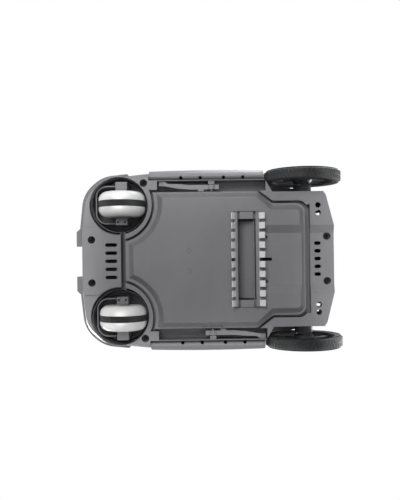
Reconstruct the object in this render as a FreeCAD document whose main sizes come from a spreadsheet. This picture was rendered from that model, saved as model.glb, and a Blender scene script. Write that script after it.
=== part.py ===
import FreeCAD, Part
import math
import os
import Sketcher

# A cordless pool cleaner, millimetres, standing on its four wheels on z = 0.
# +Z is up, the two swivelling front wheels are towards -Y and the drive wheels towards +Y.
# The origin is on the floor in the middle of the body's length and width.

doc = FreeCAD.newDocument("pool_cleaner")
Vector = FreeCAD.Vector
Rotation = FreeCAD.Rotation
Placement = FreeCAD.Placement

# driving dimensions

driving_sizes = {
    # body outline, seen from above
    "body_half_width": 139.5,
    "body_front": -202.5,
    "body_rear": 200,
    "corner_radius": 45,
    "waist_half_width": 127,
    "tail_half_width": 107,
    # heights
    "belly_height": 30,
    "slope_top": 46,
    "deck_height": 62,
    "roof_height": 182,
    "skin": 3,
    # drive wheels
    "drive_radius": 62,
    "drive_width": 20,
    "drive_inner": 123,
    "axle_line": 155,
    "shaft_radius": 5,
    # swivelling front wheels
    "swivel_across": 90,
    "swivel_line": -141,
    "trail": 5,
    "front_radius": 37,
    "front_half_width": 20,
    "band_half_width": 5,
    "well_radius": 43.5,
    "well_rim_radius": 46.8,
    "well_rim_across": 87,
    "well_rim_line": -140.5,
    "well_top_radius": 42.6,
    "well_roof": 88,
    "stem_radius": 6,
    # bottom lid
    "lid_front": -130.6,
    "lid_half_width": 108,
    "lid_rear": 154,
    "lid_tail_half_width": 88.5,
    "lid_arc_radius": 61,
    "lid_arc_line": -145,
    "lid_face": 17,
    "lid_gap": 4,
    "trough_half_width": 53,
    # suction mouth
    "mouth_line": 60.4,
    "mouth_length": 149.8,
    "mouth_width": 38.6,
    "duct_length": 127,
    "duct_width": 29,
    "flap_spacing": 16.5,
    "flap_height": 16,
    "flap_length": 13.5,
    "tooth_pitch": 15.1,
    "tooth_width": 9.8,
    # lid levers
    "lever_across": 115.8,
    "pivot_line": 6.5,
    "pivot_height": 37,
    "lever_reach": 83,
    "lever_half_width": 3.7,
    # pump and top
    "pump_line": 20,
    "grille_radius": 38,
    "handle_across": 56,
    "handle_pivot_line": 52,
    "handle_reach": 98,
    "button_line": 108,
    "button_radius": 9,
    # fits
    "running_gap": 0.05,
}

sheet = doc.addObject("Spreadsheet::Sheet", "Sizes")
for row, (alias, value) in enumerate(driving_sizes.items(), start=1):
    sheet.set(f"A{row}", alias)
    sheet.set(f"B{row}", str(value))
    sheet.setAlias(f"B{row}", alias)
doc.recompute()


class Size:
    """A length and the sheet expression that gives it, so that sums of sizes stay bound."""

    def __init__(self, value, text):
        self.value = value
        self.text = text

    def __add__(self, other):
        other = as_size(other)
        return Size(self.value + other.value, f"({self.text} + {other.text})")

    def __sub__(self, other):
        other = as_size(other)
        return Size(self.value - other.value, f"({self.text} - {other.text})")

    def __mul__(self, factor):
        return Size(self.value * factor, f"({self.text} * {factor})")

    def __truediv__(self, divisor):
        return Size(self.value / divisor, f"({self.text} / {divisor})")

    __rmul__ = __mul__

    def __radd__(self, other):
        return as_size(other) + self

    def __rsub__(self, other):
        return as_size(other) - self

    def __neg__(self):
        return Size(-self.value, f"(-1 * {self.text})")


def as_size(number):
    return number if isinstance(number, Size) else Size(float(number), f"({float(number)})")


def size(alias):
    return Size(float(sheet.get(alias)), f"Sizes.{alias}")


def number(alias):
    return float(sheet.get(alias))


# small builders

turns = {
    "X": Rotation(Vector(0, 1, 0), 90),
    "Y": Rotation(Vector(1, 0, 0), -90),
    "Z": Rotation(),
}
upright = turns["Z"]


def bind(thing, **sizes):
    for name, value in sizes.items():
        thing.setExpression(name, as_size(value).text)


def place(thing, at, turn=upright):
    places = [as_size(value) for value in at]
    thing.Placement = Placement(Vector(*[value.value for value in places]), turn)
    for letter, value in zip("xyz", places):
        thing.setExpression(f"Placement.Base.{letter}", value.text)
    return thing


def cylinder(radius, length, at, along="Z"):
    thing = doc.addObject("Part::Cylinder", "Cylinder")
    bind(thing, Radius=radius, Height=length)
    return place(thing, at, turns[along])


def cone(low_radius, high_radius, length, at, along="Z"):
    thing = doc.addObject("Part::Cone", "Cone")
    bind(thing, Radius1=low_radius, Radius2=high_radius, Height=length)
    return place(thing, at, turns[along])


def box(x_range, y_range, z_range):
    """A block between two values along each axis."""
    ranges = [(as_size(low), as_size(high)) for low, high in (x_range, y_range, z_range)]
    thing = doc.addObject("Part::Box", "Box")
    bind(
        thing,
        Length=ranges[0][1] - ranges[0][0],
        Width=ranges[1][1] - ranges[1][0],
        Height=ranges[2][1] - ranges[2][0],
    )
    return place(thing, [low for low, high in ranges])


def fuse(*things):
    thing = doc.addObject("Part::MultiFuse", "Fusion")
    thing.Shapes = list(things)
    thing.Refine = True
    return thing


def cut(base, *tools):
    thing = doc.addObject("Part::Cut", "Cut")
    thing.Base = base
    thing.Tool = tools[0] if len(tools) == 1 else fuse(*tools)
    thing.Refine = True
    return thing


def fuse_in_turn(base, *others):
    """Joins one piece after another, for pieces whose faces touch each other."""
    for other in others:
        joined = doc.addObject("Part::Fuse", "Joined")
        joined.Base = base
        joined.Tool = other
        joined.Refine = False
        base = joined
    return base


def cut_in_turn(base, *tools):
    """Cuts one tool after another, for tools whose faces touch each other."""
    for tool in tools:
        thing = doc.addObject("Part::Cut", "Cut")
        thing.Base = base
        thing.Tool = tool
        thing.Refine = False
        base = thing
    return base


def common(first, second):
    thing = doc.addObject("Part::Common", "Common")
    thing.Base = first
    thing.Tool = second
    return thing


def group(*things):
    """Separate solids that share one node."""
    thing = doc.addObject("Part::Compound", "Group")
    thing.Links = list(things)
    return thing


def mirrored(source):
    """The same piece on the other side of the middle plane."""
    thing = doc.addObject("Part::Mirroring", "Mirror")
    thing.Source = source
    thing.Normal = Vector(1, 0, 0)
    return thing


def feature(shape):
    """A shape that has no primitive or sketch of its own."""
    thing = doc.addObject("Part::Feature", "Form")
    thing.Shape = shape
    return thing


def round_edges(source, radius, wanted):
    """Rounds the edges of source that the test function picks."""
    doc.recompute()
    thing = doc.addObject("Part::Fillet", "Round")
    thing.Base = source
    thing.Edges = [
        (index, radius, radius)
        for index, edge in enumerate(source.Shape.Edges, start=1)
        if wanted(edge)
    ]
    return thing


def polygon_sketch(body, plane, points, offset=0):
    """A closed outline on one of the body's origin planes; every corner is bound to the sheet."""
    sketch = body.newObject("Sketcher::SketchObject", "Outline")
    support = next(item for item in body.Origin.OriginFeatures if item.Role == plane)
    sketch.AttachmentSupport = [(support, "")]
    sketch.MapMode = "FlatFace"
    offset = as_size(offset)
    sketch.AttachmentOffset = Placement(Vector(0, 0, offset.value), Rotation())
    sketch.setExpression("AttachmentOffset.Base.z", offset.text)
    corners = [(as_size(across), as_size(up)) for across, up in points]
    flat = [Vector(across.value, up.value, 0) for across, up in corners]
    for index, start in enumerate(flat):
        sketch.addGeometry(Part.LineSegment(start, flat[(index + 1) % len(flat)]), False)
    for index in range(len(flat)):
        following = (index + 1) % len(flat)
        sketch.addConstraint(Sketcher.Constraint("Coincident", index, 2, following, 1))
    for index, (across, up) in enumerate(corners):
        for kind, distance, axis in (("DistanceX", across, -2), ("DistanceY", up, -1)):
            if abs(distance.value) < 1e-9:
                sketch.addConstraint(Sketcher.Constraint("PointOnObject", index, 1, axis))
                continue
            made = sketch.addConstraint(
                Sketcher.Constraint(kind, -1, 1, index, 1, distance.value)
            )
            sketch.setExpression(f"Constraints[{made}]", distance.text)
    return sketch


def padded_body(points, plane, low, high):
    """A straight block with a drawn outline, from low to high along the plane's normal."""
    body = doc.addObject("PartDesign::Body", "Body")
    sketch = polygon_sketch(body, plane, points, low)
    pad = body.newObject("PartDesign::Pad", "Pad")
    pad.Profile = sketch
    bind(pad, Length=as_size(high) - as_size(low))
    return body


def turned_body(points, at):
    """A turned piece about a line along X: points are (along X, radius)."""
    body = doc.addObject("PartDesign::Body", "Body")
    sketch = polygon_sketch(body, "XZ_Plane", points)
    turned = body.newObject("PartDesign::Revolution", "Turned")
    turned.Profile = sketch
    turned.ReferenceAxis = (sketch, ["H_Axis"])
    turned.Angle = 360
    return place(body, at)


def rounded_wire(corners, height):
    """A level closed wire of straight runs and tangent arcs; corners are (x, y, radius)."""
    places = [Vector(x, y, height) for x, y, radius in corners]
    arcs = []
    for index, here in enumerate(places):
        radius = corners[index][2]
        back = (places[index - 1] - here).normalize()
        onward = (places[(index + 1) % len(places)] - here).normalize()
        half_angle = back.getAngle(onward) / 2
        reach = radius / math.tan(half_angle)
        inward = (back + onward).normalize()
        centre = here + inward * (radius / math.sin(half_angle))
        arcs.append((here + back * reach, centre - inward * radius, here + onward * reach))
    edges = []
    for index, (start, middle, end) in enumerate(arcs):
        edges.append(Part.Arc(start, middle, end).toShape())
        following = arcs[(index + 1) % len(arcs)][0]
        edges.append(Part.LineSegment(end, following).toShape())
    return Part.Wire(edges)


def both_sides(half):
    """Corners for the +X side, front to rear, followed by the same corners on the -X side."""
    return half + [(-x, y, radius) for x, y, radius in reversed(half)]


def prism(corners, low, high):
    face = Part.Face(rounded_wire(corners, low))
    return face.extrude(Vector(0, 0, high - low))


nodes = {}


def keep(name, thing):
    thing.Label = name
    nodes[name] = thing
    return thing


# body shells

skin = number("skin")
belly = number("belly_height")
deck = number("deck_height")
tail = number("tail_half_width")


def body_outline(half_width, front, rear, front_radius, inset=0):
    """A front with two bends on each side, straight flanks and a tail that narrows in two runs."""
    width = half_width - inset
    nose = front + inset
    back = rear - inset
    return both_sides(
        [
            (0.36 * width, nose, 30),
            (width - 31.5, nose + 6.2, front_radius - inset),
            (width - 7.5, nose + 34, front_radius - inset),
            (width, nose + 104, 60),
            (width, back - 62, 12),
            (0.77 * width, back - 13, 12),
            (0.39 * width, back, 12),
        ]
    )


def lid_outline(grow=0):
    """The lid's flange without the two hollows around the front wheels."""
    side = number("lid_half_width") + grow
    tail_side = number("lid_tail_half_width") + grow
    return both_sides(
        [
            (52 + grow, number("lid_front") - grow, 4),
            (side, -101 - grow, 9),
            (side, 76 + 0.4 * grow, 6),
            (tail_side, 101.5 + 0.4 * grow, 6),
            (tail_side, number("lid_rear") + grow, 14),
        ]
    )


def wheel_wells(radius, low, high):
    """Two upright columns on the swivel lines of the front wheels."""
    return fuse(
        *[
            cylinder(radius, as_size(high) - low, (side * size("swivel_across"), size("swivel_line"), low))
            for side in (1, -1)
        ]
    )


def well_cones(low_radius, high_radius, low, high):
    return fuse(
        *[
            cone(low_radius, high_radius, as_size(high) - low,
                 (side * size("swivel_across"), size("swivel_line"), low))
            for side in (1, -1)
        ]
    )


def lid_area(grow, low, high):
    """The lid's flange grown by a margin, with the hollows around the front wheels."""
    low = as_size(low)
    high = as_size(high)
    hollows = [
        cylinder(size("lid_arc_radius") - grow, high - low + 2,
                 (side * size("swivel_across"), size("lid_arc_line"), low - 1))
        for side in (1, -1)
    ]
    return cut(feature(prism(lid_outline(grow), low.value, high.value)), *hollows)


def trough(low_width, high_width, y_range, low, high):
    """A shallow channel with slanted sides that runs along Y, wider at the bottom."""
    outline = [(-low_width, low), (low_width, low), (high_width, high), (-high_width, high)]
    return padded_body(outline, "XZ_Plane", -as_size(y_range[1]), -as_size(y_range[0]))


def well_rims(low, high):
    """The wells' slanted mouths, which open wider towards the rear and the middle."""
    across = number("swivel_across")
    line = number("swivel_line")
    mouth = Part.makeCircle(
        number("well_rim_radius"), Vector(number("well_rim_across"), number("well_rim_line"), low))
    throat = Part.makeCircle(number("well_radius"), Vector(across, line, high))
    one = feature(Part.makeLoft([Part.Wire(mouth), Part.Wire(throat)], True, True))
    return fuse(one, mirrored(one))


def tail_cuts(low, high, inner, start):
    """Space outside the narrow tail on both sides, which leaves room for the drive wheels."""
    outline = [(inner, start + 13), (inner + 22, start), (190, start), (190, 240), (inner, 240)]
    right = padded_body(outline, "XY_Plane", low, high)
    return fuse(right, mirrored(right))


chassis_screw_places = [
    (side * x, y) for side in (1, -1) for x, y in ((123, -101), (34, -184), (35.5, 189))
]


def make_tub():
    """Open tray with sloping lower flanks and upright walls up to the deck."""
    front = number("body_front")
    rear = number("body_rear")
    half = number("body_half_width")
    slope_top = number("slope_top")
    radius = number("corner_radius")
    low_corners = (half - 5, front + 4, rear, radius - 4)
    full_corners = (half, front, rear, radius)
    low_wire = rounded_wire(body_outline(*low_corners), belly)
    high_wire = rounded_wire(body_outline(*full_corners), slope_top)
    tray = feature(Part.makeLoft([low_wire, high_wire], True, True))
    wall = feature(prism(body_outline(*full_corners), slope_top, deck))
    low_inner = rounded_wire(body_outline(*low_corners, skin), belly + skin)
    high_inner = rounded_wire(body_outline(*full_corners, skin), slope_top + 1)
    hollow = feature(Part.makeLoft([low_inner, high_inner], True, True))
    upper_hollow = feature(prism(body_outline(*full_corners, skin), slope_top + 1, deck))
    return cut(fuse(tray, wall), hollow, upper_hollow)


def make_side_walls(floor, roof):
    """Walls that close the waist beside the skirts and the tail beside the wheels."""
    waist_wall = box((size("waist_half_width") - 3, size("waist_half_width")), (-96, 93), (floor, roof))
    tail_wall = box((size("tail_half_width") - 3, size("tail_half_width")), (90, 184), (floor, roof))
    slant_wall = padded_body([(107, 103), (127, 90), (124, 88), (104, 100)], "XY_Plane", floor, roof)
    front_wall = box((124, size("body_half_width") - 4), (-96, -93), (size("slope_top") - 4, roof))
    walls = fuse(waist_wall, tail_wall, slant_wall, front_wall)
    return [walls, mirrored(walls)]


def make_lid_trench(floor):
    """Deep gutter all round the lid, with the narrow ledge that the lid closes against."""
    gap = number("lid_gap")
    depth = 12.5
    walls = cut(lid_area(gap + 2, floor, floor + depth + 1.5), lid_area(-2, floor - 2, floor + depth + 3))
    ledge = cut(lid_area(0, floor + 6, floor + 9), lid_area(-8, floor + 4, floor + 11))
    front_walls = box((-55, 55), (-139.6, size("lid_front")), (floor, floor + 24))
    lid_space = lid_area(gap, floor - 4, floor + 6)
    void = cut(lid_area(gap, floor - 4, floor + depth), lid_area(0.5, floor - 5, floor + depth + 1))
    front_void = box((-52, 52), (-137.6, size("lid_front") - 0.5), (floor - 4, floor + 22))
    rear_void = box((-86, 86), (size("lid_rear") + 0.5, size("lid_rear") + 8), (floor - 4, floor + depth))
    rear_walls = box((-88, 88), (size("lid_rear"), size("lid_rear") + 10), (floor, floor + depth + 1.5))
    return [walls, ledge, front_walls, rear_walls], [lid_space, void, front_void, rear_void]


def make_lower_chassis():
    floor = size("belly_height")
    roof = size("deck_height")
    trench_walls, trench_voids = make_lid_trench(floor)
    seat = lid_area(7, floor, floor + 9)
    plate = box((-53, 53), (-196.5, -137.6), (floor - 2, floor + 3))
    tail_floor = box((-104, 104), (158, 186), (floor, floor + 7))
    tail_edge = box((-54, 54), (180, 198), (floor, floor + 7))
    channel = box((105, 129), (-83, 96), (floor, 61.5))
    cups = fuse(
        wheel_wells(size("well_radius") + 1.3, 33, 50),
        well_cones(size("well_radius") + 1.3, size("well_top_radius") + 1, 50, 64),
        wheel_wells(size("well_top_radius") + 1, 64, size("well_roof") + 3),
    )
    lever_ear = box((120.4, 128), (size("pivot_line") - 5, size("pivot_line") + 5),
                    (size("pivot_height") - 5, 60))
    screw_posts = fuse(
        *[cylinder(9, roof - floor, (x, y, floor)) for x, y in chassis_screw_places]
    )
    solid = fuse_in_turn(make_tub(), *make_side_walls(floor, roof), seat, *trench_walls, plate, tail_floor,
                 tail_edge, channel, mirrored(channel), cups, screw_posts)

    # openings
    way_in = lid_area(-8, floor - 4, roof + 1)
    wells = fuse(
        well_rims(belly - 3, number("slope_top") - 2),
        wheel_wells(size("well_radius"), size("slope_top") - 2, 50),
        well_cones(size("well_radius"), size("well_top_radius"), 50, 64),
        wheel_wells(size("well_top_radius"), 64, size("well_roof")),
        wheel_wells(9, 80, 99),
    )
    lever_space = box((108.8, 126), (size("pivot_line") - 86, size("pivot_line") + 86), (floor - 5, 59.5))
    lever_room = cut(lever_space, lever_ear)
    pin_hole = cylinder(2, 17, (109.5, size("pivot_line"), size("pivot_height")), "X")
    beside_skirt = box((size("waist_half_width"), 160), (-93, 100), (floor - 5, roof + 5))
    hub_hole = cylinder(15.1, 20, (95, size("axle_line"), size("drive_radius")), "X")
    front_slots = fuse(
        *[slot_tool(12.8 * step, -153, 18.8, 5.6, floor - 5, floor + 12) for step in range(-2, 3)]
    )
    rear_slots = fuse(
        *[slot_tool(12.3 * step, 174, 10.3, 5.9, floor - 5, floor + 12) for step in range(-2, 3)]
    )
    vents = fuse(
        *[cylinder(4.4, 20, (side * x, 175, floor - 5)) for side in (1, -1) for x in (73, 85)]
    )
    recesses = fuse(
        *[cylinder(6, 18, (x, y, floor - 2)) for x, y in chassis_screw_places],
        *[cylinder(2.1, roof - floor, (x, y, floor)) for x, y in chassis_screw_places],
    )
    tail_trough = trough(size("trough_half_width") + 2, size("trough_half_width") - 12,
                         (150, 210), floor - 0.6, floor + 4)
    return cut_in_turn(
        solid, *trench_voids, way_in, wells, lever_room, mirrored(lever_room), pin_hole,
        mirrored(pin_hole), beside_skirt, mirrored(beside_skirt), tail_cuts(20, 70, tail, 90),
        hub_hole, mirrored(hub_hole), front_slots, rear_slots, vents, recesses, tail_trough,
    )


def slot_tool(x, y, length, width, low, high):
    """A round-ended slot, long along Y."""
    reach = (length - width) / 2
    low = as_size(low)
    return fuse(
        box((x - width / 2, x + width / 2), (y - reach, y + reach), (low, high)),
        cylinder(width / 2, as_size(high) - low, (x, y - reach, low)),
        cylinder(width / 2, as_size(high) - low, (x, y + reach, low)),
    )


def crown_stations(inset=0):
    """Level sections of the upper shell: height, half-width, front, rear and corner radius."""
    roof = number("roof_height")
    half = number("body_half_width")
    front = number("body_front")
    rear = number("body_rear")
    radius = number("corner_radius")
    stations = [
        (deck, half, front, rear, radius),
        (deck + 30, half - 0.5, front + 1, rear + 0.5, radius),
        (deck + 60, half - 7, front + 17, rear - 2, radius - 2),
        (deck + 88, half - 21, front + 51, rear - 15, radius - 6),
        (roof - 9, half - 40, front + 95, rear - 40, radius - 12),
        (roof, half - 53, front + 121, rear - 58, radius - 18),
    ]
    return [
        rounded_wire(body_outline(width, y_front, y_rear, corner, inset), height)
        for height, width, y_front, y_rear, corner in stations
    ]


def arch_space(clearance, inner):
    """Room for both drive wheels: a round arch in front of each axle and open space behind it."""
    inner = as_size(inner)
    arch = cylinder(clearance, 60, (inner, size("axle_line"), size("drive_radius")), "X")
    behind = box((inner, inner + 60), (size("axle_line") + 14, 260), (20, 210))
    below = box((inner, inner + 60), (size("axle_line") - clearance, 260), (20, size("drive_radius")))
    one = fuse(arch, behind, below)
    return fuse(one, mirrored(one))


def make_upper_shell():
    outer = cut(
        feature(Part.makeLoft(crown_stations(), True, False)),
        arch_space(size("drive_radius") + 5, size("tail_half_width")),
    )
    inner_form = feature(Part.makeLoft(crown_stations(skin), True, False))
    trimmed = common(inner_form, box((-200, 200), (-300, 300), (deck - 1, size("roof_height") - skin)))
    inner = cut(trimmed, arch_space(size("drive_radius") + 8, size("tail_half_width") - skin))
    outlet = cylinder(size("grille_radius") - 2, 20, (0, size("pump_line"), size("roof_height") - 10))
    panel_hole = box((-40, 40), (90, 126), (size("roof_height") - 10, size("roof_height") + 10))
    hub_holes = cylinder(15.1, 240, (-120, size("axle_line"), size("drive_radius")), "X")
    contact_holes = fuse(*[cylinder(3, 20, (side * 9, 190, 90), "Y") for side in (1, -1)])
    jets = fuse(
        *[
            box((side * 78 - 4 + 9 * step, side * 78 + 1 + 9 * step), (150, 230), (105, 150))
            for side in (1, -1)
            for step in (-1, 0, 1)
        ]
    )
    cup_room = wheel_wells(size("well_top_radius") + 1.2, deck - 2, size("well_roof") + 3.3)
    return cut(outer, inner, outlet, panel_hole, hub_holes, contact_holes, jets, cup_room)


def make_skirt():
    """A hollow strip along the side, closed at both ends, whose outer face bows outward a little."""
    outer = [
        (127.5, 47), (128.5, 40.5), (131, 36.4), (133.5, 35), (136, 36), (139.5, 40.2), (143.5, 47.5),
        (146.2, 56), (146.2, 75), (140.2, 75), (140.2, 62), (127.5, 62),
    ]
    inner = [
        (124, 47.5), (130.4, 47.5), (131.4, 42), (132.4, 39.4), (133.5, 38.4), (134.6, 38.8),
        (137.3, 42), (140.9, 48.8), (141.4, 57), (141.4, 80), (124, 80),
    ]
    start, end = -93, 90
    blank = padded_body(outer, "XZ_Plane", -end, -start)
    core = padded_body(inner, "XZ_Plane", -end + skin, -start - skin)
    bow_radius = 1479
    bow = cylinder(bow_radius, 60, (146.2 - bow_radius, (start + end) / 2, 25))
    holes = fuse(*[cylinder(2.6, 20, (131.6, y, 30)) for y in (-42, -11, 26, 57)])
    return cut(common(blank, bow), core, holes)


def make_bumper():
    """Bent strip around a front corner, with a groove along it and a thicker tab beside the middle."""
    half = number("body_half_width")
    front = number("body_front")
    low, height, thickness, clearance = 57, 22, 3.4, 2.0
    tab_side, tab_reach, tab_front = 24.6, 48, front - 11

    body = rounded_wire(body_outline(half, front, number("body_rear"), number("corner_radius")), low)

    def side_wire(margin):
        return body.makeOffset2D(margin)

    outer = Part.Face(side_wire(clearance + thickness)).extrude(Vector(0, 0, height))
    inner = Part.Face(side_wire(clearance)).extrude(Vector(0, 0, height))
    ring = cut(feature(outer), feature(inner))
    corner = common(ring, box((52, 160), (front - 20, -130), (low - 1, low + height + 1)))
    tab = padded_body(
        [(tab_side, front - clearance), (tab_side, tab_front), (tab_reach, tab_front),
         (tab_reach + 5, front - clearance - thickness), (tab_reach + 5, front - clearance)],
        "XY_Plane", low, low + height,
    )
    groove_line = Part.Face(side_wire(clearance + thickness + 1)).extrude(Vector(0, 0, 3))
    groove_core = Part.Face(side_wire(clearance + thickness - 1.2)).extrude(Vector(0, 0, 3))
    groove = cut(feature(groove_line), feature(groove_core))
    groove = place(group(groove), (0, 0, 8))
    groove = common(groove, box((56, 160), (front - 20, -133), (low, low + height)))
    return cut(fuse(corner, tab), groove)


keep("lower_chassis", make_lower_chassis())
keep("upper_shell", make_upper_shell())
skirt = keep("skirt_right", make_skirt())
keep("skirt_left", mirrored(skirt))
bumper = keep("bumper_right", make_bumper())
keep("bumper_left", mirrored(bumper))


# bottom lid, mouth and flaps

floor = size("belly_height")


def lid_hollows(low_radius, high_radius, low, high):
    """Cones that hollow the pan around both front wheels."""
    return fuse(
        *[
            cone(low_radius, high_radius, high - low,
                 (side * size("swivel_across"), size("lid_arc_line"), low))
            for side in (1, -1)
        ]
    )


def make_bottom_lid():
    """Flange with a hollow pan, a shallow channel behind the mouth and the mouth's opening."""
    face = number("lid_face")
    mouth = size("mouth_line")

    def pan(inset, low, high, spread):
        side = 98 - inset
        tail_side = 77 - inset
        half = [
            (46 - inset, -117 + inset, 4),
            (side, -92 + inset, 8),
            (side, 76.6 - 0.4 * inset, 5),
            (tail_side, 100 - 0.4 * inset, 5),
            (tail_side, 144 - inset, 6),
        ]
        wide = [
            (46 - inset + spread, -117 + inset - spread, 6),
            (side + spread, -92 + inset - spread, 12),
            (side + spread, 76.6 - 0.4 * inset + 0.4 * spread, 7),
            (tail_side + spread, 100 - 0.4 * inset + 0.4 * spread, 7),
            (tail_side + spread, 144 - inset + spread, 12),
        ]
        wires = [rounded_wire(both_sides(half), low), rounded_wire(both_sides(wide), high)]
        return feature(Part.makeLoft(wires, True, True))

    hollow_radius = 74
    outer = cut(
        pan(0, face, belly, 8),
        lid_hollows(hollow_radius, hollow_radius - 8, face - 0.01, belly + 0.01),
    )
    softened = round_edges(
        outer, 2.4, lambda edge: edge.BoundBox.ZMax < face + 0.1
    )
    inner = cut(
        pan(skin, face + skin, belly + 4, 9),
        lid_hollows(hollow_radius + skin, hollow_radius + skin - 9, face + skin - 0.02, belly + 4.02),
    )
    side = size("trough_half_width")
    channel = trough(side + 2, side - 12, (mouth + 24, 170), face - 0.6, face + 4.6)
    raised = trough(side + 1, side - 9, (mouth + 21, 150), face + skin - 1, face + 4.6 + skin)
    flange = lid_area(0, floor, floor + skin)
    side_notch = box((102.5, 112), (size("pivot_line") - 16, size("pivot_line") + 16), (floor - 4, floor + 1))
    mouth_hole = box(
        (-size("mouth_length") / 2 - 0.3, size("mouth_length") / 2 + 0.3),
        (mouth - size("mouth_width") / 2 - 0.3, mouth + size("mouth_width") / 2 + 0.3),
        (face - 5, belly + 12),
    )
    clip_slots = fuse(
        *[box((x - 2, x + 2), (mouth - 23.5, mouth - 18), (face - 2, face + 6)) for x in (-55, 0, 55)],
        *[box((x - 2, x + 2), (mouth + 18, mouth + 33), (face - 2, face + 12)) for x in (-35, 35)],
        box((-2.3, 2.3), (mouth + 18, mouth + 39.6), (face - 2, face + 12)),
    )
    hollow = cut(inner, raised)
    return cut(fuse(cut(softened, channel), flange), hollow, side_notch, mirrored(side_notch),
               mouth_hole, clip_slots)


def make_mouth_liner():
    """Duct through the lid with a flat end plate and a bearing lug at each end of both flaps."""
    mouth = size("mouth_line")
    face = size("lid_face")
    half_duct = size("duct_length") / 2
    half_width = size("duct_width") / 2
    half_length = size("mouth_length") / 2 - 0.3
    collar = box((-half_length, half_length), (mouth - 19, mouth + 19), (face + 6, face + 8.5))
    duct = box((-half_duct - 1.8, half_duct + 1.8), (mouth - half_width - 1.8, mouth + half_width + 1.8),
               (face + 6, face + 26))
    plate = box((half_duct, half_length), (mouth - 10.5, mouth + 10.5), (face + 0.6, face + 6))
    spacing = size("flap_spacing")
    lugs = [
        box((half_length - 1.5, half_length), (mouth + side * spacing - 2.4, mouth + side * spacing + 2.4),
            (size("flap_height") - 2.4, face + 6))
        for side in (1, -1)
    ]
    end = fuse(plate, *lugs)
    opening = box((-half_duct, half_duct), (mouth - half_width, mouth + half_width), (face - 5, face + 40))
    pin_bores = fuse(
        *[
            cylinder(1.2 + size("running_gap"), 160, (-80, mouth + side * spacing, size("flap_height")), "X")
            for side in (1, -1)
        ]
    )
    valve_bore = cylinder(1, 129.4, (-64.7, mouth + half_width - 2.4, face + 11), "X")
    return cut(fuse(collar, duct, end, mirrored(end)), opening, pin_bores, valve_bore)


def make_flap(side, tilt):
    """Hinge bar with its pins, and the toothed blade that hangs from it, leaning outward."""
    height = size("flap_height")
    line = size("mouth_line") + side * size("flap_spacing")
    half_bar = 72.8
    core_radius = 2.1
    half_blade = 0.9
    cover = place(group(box((-half_bar, half_bar), (-2.4, 2.4), (-3.4, -0.6))), (0, line, height))
    bar = fuse(
        cylinder(core_radius, 2 * half_bar, (-half_bar, line, height), "X"),
        cylinder(1.2, 2 * half_bar + 3, (-half_bar - 1.5, line, height), "X"),
        cover,
    )
    pitch = size("tooth_pitch")
    tooth_half = size("tooth_width") / 2
    strip = box((-pitch * 4.5 - tooth_half, pitch * 4.5 + tooth_half), (-half_blade, half_blade), (-3.6, -1.5))
    teeth = [
        box((pitch * step - tooth_half, pitch * step + tooth_half), (-half_blade, half_blade),
            (-size("flap_length"), -3))
        for step in (-4.5, -3.5, -2.5, -1.5, -0.5, 0.5, 1.5, 2.5, 3.5, 4.5)
    ]
    lean = Rotation(Vector(1, 0, 0), side * tilt)
    blade = place(group(fuse(strip, *teeth)), (0, line, height), lean)
    return bar, cut(blade, bar)


def make_inlet_valve():
    """Plate that rests against the duct's front wall and opens upward with the flow."""
    hinge_line = size("mouth_line") + size("duct_width") / 2 - 2.4
    blank = fuse(
        box((-61.5, 61.5), (-28.6, 0), (-0.8, 0.8)),
        cylinder(1.7, 123, (-61.5, 0, 0), "X"),
    )
    valve = cut(blank, cylinder(1 + size("running_gap"), 140, (-70, 0, 0), "X"))
    plate = doc.addObject("Part::Compound", "Valve")
    plate.Links = [valve]
    place(plate, (0, hinge_line, size("lid_face") + 11), Rotation(Vector(1, 0, 0), -24))
    pin = cylinder(1, 129.4, (-64.7, hinge_line, size("lid_face") + 11), "X")
    return plate, pin


def make_filter_frame():
    base = size("belly_height") + 7
    outer = box((-79, 79), (-74, 112), (base, base + 58))
    inner = box((-76.5, 76.5), (-71.5, 109.5), (base - 1, base + 55.5))
    across = fuse(
        *[box((-90, 90), (-68 + 45 * step, -27 + 45 * step), (base + 8, base + 50)) for step in range(4)]
    )
    along = fuse(
        *[box((-73 + 49.5 * step, -26 + 49.5 * step), (-90, 120), (base + 8, base + 50)) for step in range(3)]
    )
    lids = fuse(
        *[
            box((-73 + 49.5 * i, -26 + 49.5 * i), (-68 + 45 * j, -27 + 45 * j), (base + 40, base + 70))
            for i in range(3)
            for j in range(4)
        ]
    )
    return cut(outer, inner, across, along, lids)


def make_filter_mesh():
    base = size("belly_height") + 7
    skin_of_mesh = 0.8
    outer = box((-76.5, 76.5), (-71.5, 109.5), (base + 1, base + 55.5))
    inner = box(
        (-76.5 + skin_of_mesh, 76.5 - skin_of_mesh),
        (-71.5 + skin_of_mesh, 109.5 - skin_of_mesh),
        (base, base + 55.5 - skin_of_mesh),
    )
    return cut(outer, inner)


def make_lid_seal():
    """Rubber ring on the lid's seat, above the lid's flange."""
    return cut(lid_area(-1.5, floor + 4.2, floor + 6), lid_area(-6, floor, floor + 10))


keep("bottom_lid", make_bottom_lid())
keep("mouth_liner", make_mouth_liner())
keep("lid_seal", make_lid_seal())
for place_name, side, tilt in (("front", -1, 32), ("rear", 1, 58)):
    flap_bar, flap_blade = make_flap(side, tilt)
    keep(f"{place_name}_flap_bar", flap_bar)
    keep(f"{place_name}_flap_blade", flap_blade)
valve_plate, valve_pin = make_inlet_valve()
keep("inlet_valve", valve_plate)
keep("inlet_valve_pin", valve_pin)
keep("filter_frame", make_filter_frame())
keep("filter_mesh", make_filter_mesh())


# lid levers


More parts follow.
